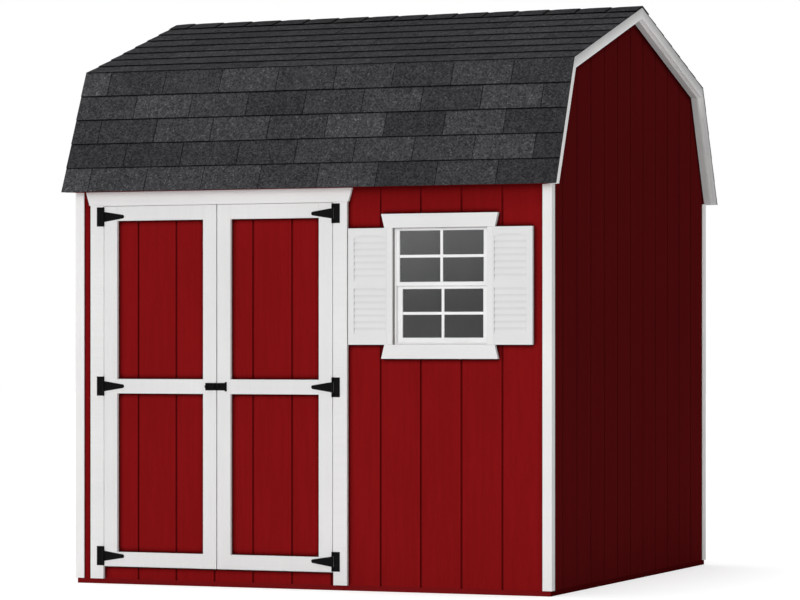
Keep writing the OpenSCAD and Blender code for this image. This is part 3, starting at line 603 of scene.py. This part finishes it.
# Width of a tab and of the slot beside it, and the length tucked under the next course
TAB_WIDTH = 0.301
TAB_SLOT = 0.0034
TAB_TUCK = 0.018

# Strips across a tab, and the rows between its edges as shares of its exposed length
TAB_STRIPS = 4
TAB_ROWS = (0.3, 0.65)

# Depths under the roof's outer face, and the least thickness of a tab
FACE_DEPTH = 0.0003
FACE_WAVE = 0.0003
UNDERSIDE_DEPTH = 0.0042
UNDERSIDE_FALL = 0.0006
THINNEST = 0.0001

# How far slots and lower edges stray, the starts of alternate courses, and the narrowest rests
SLOT_STRAY = 0.001
EDGE_STRAY = 0.0012
COURSE_STARTS = (-1.131, -0.965)
NARROWEST_TAB = 0.03
LEAST_COURSE_SHARE = 0.05

# Felt under the courses: depths of its faces, and distances from the edges of a slope
FELT_TOP, FELT_UNDER = 0.00488, 0.00499
FELT_LOWER_EDGE, FELT_UPPER_EDGE, FELT_SIDE_EDGE = 0.001, 0.0006, 0.002

# Tones of cut edges and undersides, and of the painted shadow band at the top of a slope's last
# course
EDGE_TONE = 0.2
LAST_BAND_TONE = 0.92

# A slope: where its points lie, its length and the exposed length of a course, which start its
# first course takes, the width and tone of its band of painted shadow, and the tones of its tabs
Slope = namedtuple("Slope", "place length pitch first band shadow tones")
STEEP = Slope(place=on_low, length=low_length, pitch=low_length / 5, first=0, band=0.0048,
              shadow=0.3, tones=(0.74, 0.84, 0.92, 1.0, 1.08, 1.16, 1.28))
SHALLOW = Slope(place=on_high, length=high_length, pitch=0.1427, first=1, band=0.02,
                shadow=0.42, tones=(0.88, 0.93, 0.97, 1.0, 1.04, 1.1))


def lay_tab(form, slope, side, x0, x1, t0, t1, cover, shadow, tone):
    """One shingle tab: thick at its lower edge, thin under the next course, with painted shadow
    at its edge.
    """
    shown = cover - t0
    xs = [x0 + (x1 - x0) * i / TAB_STRIPS for i in range(TAB_STRIPS + 1)]
    ts = [t0, *(t0 + share * shown for share in TAB_ROWS), cover - slope.band, t1]
    waves = [rng.uniform(0.0, FACE_WAVE) for _ in xs]
    points = []
    for under in (False, True):
        for x, wave in zip(xs, waves):
            for t in ts:
                run = (t - t0) / shown
                if under:
                    depth = UNDERSIDE_DEPTH + UNDERSIDE_FALL * min(run, 1.0)
                else:
                    depth = FACE_DEPTH + wave + (UNDERSIDE_DEPTH - FACE_DEPTH) * run
                deepest = SHINGLE_THICKNESS - (0.0 if under else THINNEST)
                y, z = slope.place(t, min(depth, deepest))
                points.append((x, side * y, z))
    rows, layer = len(ts), len(xs) * len(ts)
    faces, tones = [], []
    for i in range(TAB_STRIPS):
        for j in range(rows - 1):
            a = i * rows + j
            quad = [a, a + 1, a + rows + 1, a + rows]
            faces += [quad, [layer + k for k in quad[::-1]]]
            # Painted shadow on the band at the next course's edge
            tones += [tone * (shadow if j == rows - 2 else 1.0), EDGE_TONE]
    edges = [(i * rows + j, (i + 1) * rows + j) for i in range(TAB_STRIPS) for j in (0, rows - 1)]
    edges += [(i * rows + j, i * rows + j + 1) for i in (0, TAB_STRIPS) for j in range(rows - 1)]
    faces += [[a, b, layer + b, layer + a] for a, b in edges]
    tones += [EDGE_TONE] * len(edges)
    form.add(points, faces, tones)


def lay_courses(form, slope, side):
    """Courses of tabs from the lower edge up, their slots about halfway between the last's."""
    for k in range(math.ceil(slope.length / slope.pitch - LEAST_COURSE_SHARE)):
        t0 = k * slope.pitch
        cover = min(t0 + slope.pitch, slope.length)
        t1 = min(cover + TAB_TUCK, slope.length)
        shadow = slope.shadow if t1 > cover else LAST_BAND_TONE
        start = COURSE_STARTS[(k + slope.first) % 2]
        slots = [start + TAB_WIDTH * i for i in range(-2, 10)]
        inner = [x + rng.uniform(-SLOT_STRAY, SLOT_STRAY) for x in slots
                 if abs(x) < roof_x - NARROWEST_TAB]
        ends = [-roof_x - TAB_SLOT / 2] + inner + [roof_x + TAB_SLOT / 2]
        for a, b in zip(ends, ends[1:]):
            lower = t0 + rng.uniform(0.0, EDGE_STRAY)
            lay_tab(form, slope, side, a + TAB_SLOT / 2, b - TAB_SLOT / 2, lower, t1, cover,
                    shadow, rng.choice(slope.tones))


def lay_felt(form, slope, side):
    """Dark felt under the courses, seen only through the slots, whose darkness there is partly
    painted shade.
    """
    lower, upper = FELT_LOWER_EDGE, slope.length - FELT_UPPER_EDGE
    outline = [slope.place(t, depth) for t, depth in (
        (lower, FELT_TOP), (upper, FELT_TOP), (upper, FELT_UNDER), (lower, FELT_UNDER))]
    reach = roof_x - FELT_SIDE_EDGE
    form.prism(*([(x, side * y, z) for y, z in outline] for x in (-reach, reach)), EDGE_TONE)


for name, slope, node in (("shingle_courses_steep", STEEP, "lower_shingles"),
                          ("shingle_courses_shallow", SHALLOW, "upper_shingles")):
    form = Form()
    for side in (-1, 1):
        lay_courses(form, slope, side)
        lay_felt(form, slope, side)
    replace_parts(form.piece(name, shingle, "building"), node)

# Ridge shingles, each folded over the crest and tucked under the next one

CAP_PITCH = 0.163
CAP_TUCK = 0.03
CAP_MARGIN = 0.002
SHORTEST_CAP = 0.01
CAP_TONE = 0.75
# Tone of the painted shadow where a ridge shingle is tucked in and just past the next one's edge
CAP_SHADOW_TONE = 0.3
CAP_UNDER, CAP_UNDER_RISE = 0.0003, 0.0011
CREST_ROUNDING = 0.004

# Heights of the face over the peak: where it is tucked in, then at distances past the edge of
# the next shingle, and two thirds of the way to its free end
CAP_TUCKED = 0.0005
CAP_RISE = ((0.0, 0.0006), (0.009, 0.0008), (0.045, 0.0028))
CAP_FULL = 0.0035

# Points across a ridge shingle, as shares of its reach on each side
CAP_SHARES = (0.03, 0.08, 0.25, 0.6, 1)
cap_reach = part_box("ridge_cap")[1].y


def lay_cap(form, start, end, tone):
    """One ridge shingle: flat and dark with painted shadow where tucked in and just past the next
    one's edge, rising to its thick free end.
    """
    shown = max(end - CAP_PITCH, start + CAP_MARGIN)
    stations = ((start, CAP_TUCKED), *((shown + run, over) for run, over in CAP_RISE),
                ((shown + 2 * end) / 3, CAP_FULL), (end, CAP_THICKNESS))
    shares = [-share for share in CAP_SHARES[::-1]] + [0, *CAP_SHARES]
    ys = [cap_reach * share for share in shares]
    rows = []
    for x, over in stations:
        under = CAP_UNDER + CAP_UNDER_RISE * (x - start) / (CAP_PITCH + CAP_TUCK)
        row = []
        for offset, sweep in ((over, ys), (under, ys[::-1])):
            top = peak_z + offset / math.cos(high_pitch)
            row += [(x, y, top - math.tan(high_pitch) * math.hypot(y, CREST_ROUNDING))
                    for y in sweep]
        rows.append(row)
    n = len(rows[0])
    faces, tones = [], []
    for r in range(len(rows) - 1):
        for i in range(n):
            a, b = r * n + i, r * n + (i + 1) % n
            faces.append([a, b, b + n, a + n])
            outside = i < len(ys) - 1
            tones.append(tone * (CAP_SHADOW_TONE if r < 2 else 1.0) if outside else EDGE_TONE)
    faces += [list(range(n))[::-1], [(len(rows) - 1) * n + i for i in range(n)]]
    tones += [EDGE_TONE, EDGE_TONE]
    form.add([point for row in rows for point in row], faces, tones)


form = Form()
end = roof_x
while end > -roof_x + SHORTEST_CAP:
    lay_cap(form, max(end - CAP_PITCH - CAP_TUCK, -roof_x), end,
            CAP_TONE * rng.choice(SHALLOW.tones))
    end -= CAP_PITCH
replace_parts(form.piece("ridge_shingles", shingle, "building"), "ridge_cap")

# Window bars and glazing beads

BAR = 0.0135
BAR_EASE = 0.0015
PANE_HALF = 0.0015

# Widths of a bead at the pane and at its face, and how far that face slopes back
BEAD_BACK, BEAD_FRONT = 0.001, 0.0006
BEAD_SLOPE = 0.002
SASH_SETBACK = 0.001


def glaze(name, node, left, right, bottom, top):
    """Beads round the opening of a sash and a crossing pair of bars on its pane.

    The four sizes are the widths of the sash's members.
    """
    low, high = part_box(node)
    x0, x1 = low.x + left, high.x - right
    z0, z1 = low.z + bottom, high.z - top
    face = low.y + SASH_SETBACK
    pane = (low.y + high.y) / 2 - PANE_HALF
    form = Form()
    profile = ((0.0, face), (0.0, pane), (BEAD_BACK, pane), (BEAD_FRONT, face + BEAD_SLOPE))
    corners = []
    for sx, sz, x, z in ((1, 1, x0, z0), (-1, 1, x1, z0), (-1, -1, x1, z1), (1, -1, x0, z1)):
        corners.append([(x + sx * d, y, z + sz * d) for d, y in profile])
    n = len(profile)
    faces = [[c * n + i, c * n + (i + 1) % n, (c + 1) % 4 * n + (i + 1) % n,
              (c + 1) % 4 * n + i] for c in range(4) for i in range(n)]
    form.add([point for corner in corners for point in corner], faces)
    middle_x, middle_z = (x0 + x1) / 2, (z0 + z1) / 2
    front, half = face + BAR_EASE, BAR / 2
    outline = ((-half, pane), (-half, front + BAR_EASE), (-half + BAR_EASE, front),
               (half - BAR_EASE, front), (half, front + BAR_EASE), (half, pane))
    form.prism([(x0, y, middle_z + d) for d, y in outline],
               [(x1, y, middle_z + d) for d, y in outline])
    for a, b in ((z0, middle_z - half), (middle_z + half, z1)):
        form.prism([(middle_x + d, y, a) for d, y in outline],
                   [(middle_x + d, y, b) for d, y in outline])
    form.piece(name, bar_white, "building")


glaze("upper_sash_bars", "upper_sash", left=0.016, right=0.016, bottom=0.018, top=0.007)
glaze("lower_sash_bars", "lower_sash", left=0.024, right=0.024, bottom=0.024, top=0.023)

# Screws of the hinges and the latch

SCREW_SIDES = 14
STRAP_SCREW, PLATE_SCREW, LATCH_SCREW = 0.0034, 0.0028, 0.0026
HINGE_SHEET = 0.0025
STRAP_HALF = 0.025
DOOR_GAP = 0.005
doorway_low, doorway_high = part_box("door_stops")
board_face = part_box("left_door_boards")[0].y
hinge_face = board_face - HINGE_SHEET
latch_height = (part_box("latch_bolt")[0].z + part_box("latch_bolt")[1].z) / 2
hinge_heights = (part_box("left_door_straps")[0].z + STRAP_HALF, latch_height,
                 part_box("left_door_straps")[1].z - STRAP_HALF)
hinge_axes = {"left": (doorway_low.x + DOOR_GAP / 2, 1),
              "right": (doorway_high.x - DOOR_GAP / 2, -1)}

# Places of screws: from a hinge's axis and middle height, and from a latch plate's inner edge
PLATE_SCREWS = ((-0.027, 0.037), (-0.012, 0.037), (-0.02, 0.0), (-0.027, -0.037),
                (-0.012, -0.037))
STRAP_SCREWS = ((0.02, 0.013), (0.02, -0.013), (0.052, 0.0), (0.094, 0.0))
HOUSING_SCREWS = ((-0.0505, -0.0125), (-0.0505, 0.0125), (-0.0085, -0.0125), (-0.0085, 0.0125))
KEEPER_SCREWS = ((0.008, 0.0125), (0.008, -0.0125), (0.03, 0.01), (0.03, -0.01))

# Dome and recess of a head, from the middle outwards: shares of the radius, and heights
SCREW_PROFILE = ((0.0, 0.0006), (0.3, 0.0006), (0.38, 0.0014), (0.75, 0.0012), (1.0, 0.0003),
                 (1.0, -0.0002))


def screw(form, x, z, radius):
    """Low domed head with a round recess, on the ironwork's face."""
    n = SCREW_SIDES
    points = [(x, hinge_face - SCREW_PROFILE[0][1], z)]
    for share, height in SCREW_PROFILE[1:]:
        points += [(x + radius * share * math.cos(2 * math.pi * i / n), hinge_face - height,
                    z + radius * share * math.sin(2 * math.pi * i / n)) for i in range(n)]
    faces = [[0, 1 + (i + 1) % n, 1 + i] for i in range(n)]
    for k in range(len(SCREW_PROFILE) - 2):
        a, b = 1 + k * n, 1 + (k + 1) * n
        faces += [[a + i, a + (i + 1) % n, b + (i + 1) % n, b + i] for i in range(n)]
    last = 1 + (len(SCREW_PROFILE) - 2) * n
    faces.append([last + i for i in range(n)])
    form.add(points, faces)


plates = Form()
for leaf, (axis, way) in hinge_axes.items():
    straps = Form()
    for height in hinge_heights:
        for dx, dz in PLATE_SCREWS:
            screw(plates, axis + way * dx, height + dz, PLATE_SCREW)
        for dx, dz in STRAP_SCREWS:
            screw(straps, axis + way * dx, height + dz, STRAP_SCREW)
    if leaf == "left":
        edge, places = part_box("latch_housing")[1].x, HOUSING_SCREWS
    else:
        edge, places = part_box("latch_keeper")[0].x, KEEPER_SCREWS
    for dx, dz in places:
        screw(straps, edge + dx, latch_height + dz, LATCH_SCREW)
    straps.piece(leaf + "_door_screws", black, leaf + "_door")
plates.piece("hinge_plate_screws", black, "building")


def plate(form, x0, x1, y0, y1, z0, z1):
    """Plain block between two corners."""
    outline = ((x0, z0), (x1, z0), (x1, z1), (x0, z1))
    form.prism(*([(x, y, z) for x, z in outline] for y in (y0, y1)))


# Lip of the keeper, which closes most of the gap between the door leaves

LIP_HALF_HEIGHT = 0.018
LIP_THICKNESS = 0.0024
LIP_CLEARANCE = 0.001
lip = Form()
plate(lip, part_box("latch_housing")[1].x + LIP_CLEARANCE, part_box("latch_keeper")[0].x,
      hinge_face, hinge_face + LIP_THICKNESS,
      latch_height - LIP_HALF_HEIGHT, latch_height + LIP_HALF_HEIGHT)
lip.piece("keeper_lip", black, "right_door")

# White draught beads on the side boards and the head board, in the gaps round the doors

DRAUGHT_LEFT, DRAUGHT_RIGHT, DRAUGHT_TOP = 0.0029, 0.0022, 0.003
DRAUGHT_SETBACK = 0.002
DRAUGHT_DEPTH = 0.008
bead_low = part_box("left_door_boards")[0].z
bead_high = doorway_high.z - DRAUGHT_TOP
bead_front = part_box("door_casings")[0].y + DRAUGHT_SETBACK
beads = Form()
for x0, x1, z0, z1 in ((doorway_low.x, doorway_low.x + DRAUGHT_LEFT, bead_low, bead_high),
                       (doorway_high.x - DRAUGHT_RIGHT, doorway_high.x, bead_low, bead_high),
                       (doorway_low.x, doorway_high.x, bead_high, doorway_high.z)):
    plate(beads, x0, x1, bead_front, bead_front + DRAUGHT_DEPTH, z0, z1)
beads.piece("door_beads", white_level, "building")

# Stage: pale floor, a broad soft key lamp from the front, a top lamp and an even surround

WHITE = (1.0, 1.0, 1.0, 1.0)
SURROUND = 0.36
FLOOR_BOUNCE = 0.8
FLOOR_SEEN = 0.6
FLOOR_GLOW = 0.605
FLOOR_HALF = 60.0
FLOOR_LEVEL = -0.0005


def added(tree, kind, *sources, **values):
    """New node: sources are linked to its inputs in order, and values are set by name."""
    made = tree.nodes.new(kind)
    for socket, source in zip(made.inputs, sources):
        tree.links.new(source, socket)
    for key, value in values.items():
        made.inputs[key].default_value = value
    return made


def seen_white(tree):
    """One for rays from the camera, in reflections and through glass, else zero."""
    path = tree.nodes.new("ShaderNodeLightPath")
    last = path.outputs["Is Camera Ray"]
    for key in ("Is Glossy Ray", "Is Transmission Ray"):
        either = added(tree, "ShaderNodeMath", last, path.outputs[key])
        either.operation = "MAXIMUM"
        last = either.outputs[0]
    return last


world = bpy.data.worlds.new("surround")
scene.world = world
world.use_nodes = True
tree = world.node_tree
soft = tree.nodes["Background"]
soft.inputs["Color"].default_value = WHITE
soft.inputs["Strength"].default_value = SURROUND
bright = added(tree, "ShaderNodeBackground", Color=WHITE, Strength=1.0)
mix = added(tree, "ShaderNodeMixShader", seen_white(tree), soft.outputs[0], bright.outputs[0])
tree.links.new(mix.outputs[0], tree.nodes["World Output"].inputs["Surface"])

floor_mesh = bpy.data.meshes.new("floor")
corners = ((-1, -1), (1, -1), (1, 1), (-1, 1))
floor_mesh.from_pydata([(FLOOR_HALF * x, FLOOR_HALF * y, FLOOR_LEVEL) for x, y in corners], [],
                       [[0, 1, 2, 3]])
floor = bpy.data.objects.new("floor", floor_mesh)
scene.collection.objects.link(floor)
paper = bpy.data.materials.new("studio_paper")
paper.use_nodes = True
tree = paper.node_tree
tree.nodes.remove(tree.nodes["Principled BSDF"])
plain = added(tree, "ShaderNodeBsdfDiffuse", Color=(*[FLOOR_BOUNCE] * 3, 1.0))
lit = added(tree, "ShaderNodeBsdfDiffuse", Color=(*[FLOOR_SEEN] * 3, 1.0))
glow = added(tree, "ShaderNodeEmission", Strength=FLOOR_GLOW)
both = added(tree, "ShaderNodeAddShader", lit.outputs[0], glow.outputs[0])
mix = added(tree, "ShaderNodeMixShader", seen_white(tree), plain.outputs[0], both.outputs[0])
tree.links.new(mix.outputs[0], tree.nodes["Material Output"].inputs["Surface"])
floor_mesh.materials.append(paper)


def broad_sun(name, level, azimuth, elevation, width):
    """Soft lamp from one direction, kept out of reflections; angles in degrees.

    Azimuth 0 is the front and 90 the right.
    """
    lamp = bpy.data.lights.new(name, "SUN")
    lamp.energy = level * math.pi
    lamp.angle = math.radians(width)
    sun = bpy.data.objects.new(name, lamp)
    scene.collection.objects.link(sun)
    sun.visible_glossy = False
    across, up = math.radians(azimuth), math.radians(elevation)
    towards = Vector((math.sin(across) * math.cos(up), -math.cos(across) * math.cos(up),
                      math.sin(up)))
    sun.rotation_euler = towards.to_track_quat("Z", "Y").to_euler()


broad_sun("key", level=0.66, azimuth=3, elevation=3, width=56)
broad_sun("top", level=0.43, azimuth=-90, elevation=83, width=26)

# Camera: level, at the photograph's viewing angle

IMAGE_WIDTH = 800
FOCAL_PIXELS = 3342.37
RAISED_PIXELS = 45.07
SENSOR_WIDTH = 36.0
FAR_LIMIT = 200.0
CAMERA_PLACE = (6.33003, -15.76903, 1.15942)
CAMERA_TURN = 21.9299

view = bpy.data.cameras.new("camera")
view.sensor_width = SENSOR_WIDTH
view.lens = SENSOR_WIDTH * FOCAL_PIXELS / IMAGE_WIDTH
view.shift_y = RAISED_PIXELS / IMAGE_WIDTH
view.clip_end = FAR_LIMIT
camera = bpy.data.objects.new("camera", view)
scene.collection.objects.link(camera)
camera.location = CAMERA_PLACE
camera.rotation_euler = (math.radians(90), 0.0, math.radians(CAMERA_TURN))
scene.camera = camera
scene.view_settings.view_transform = "Standard"
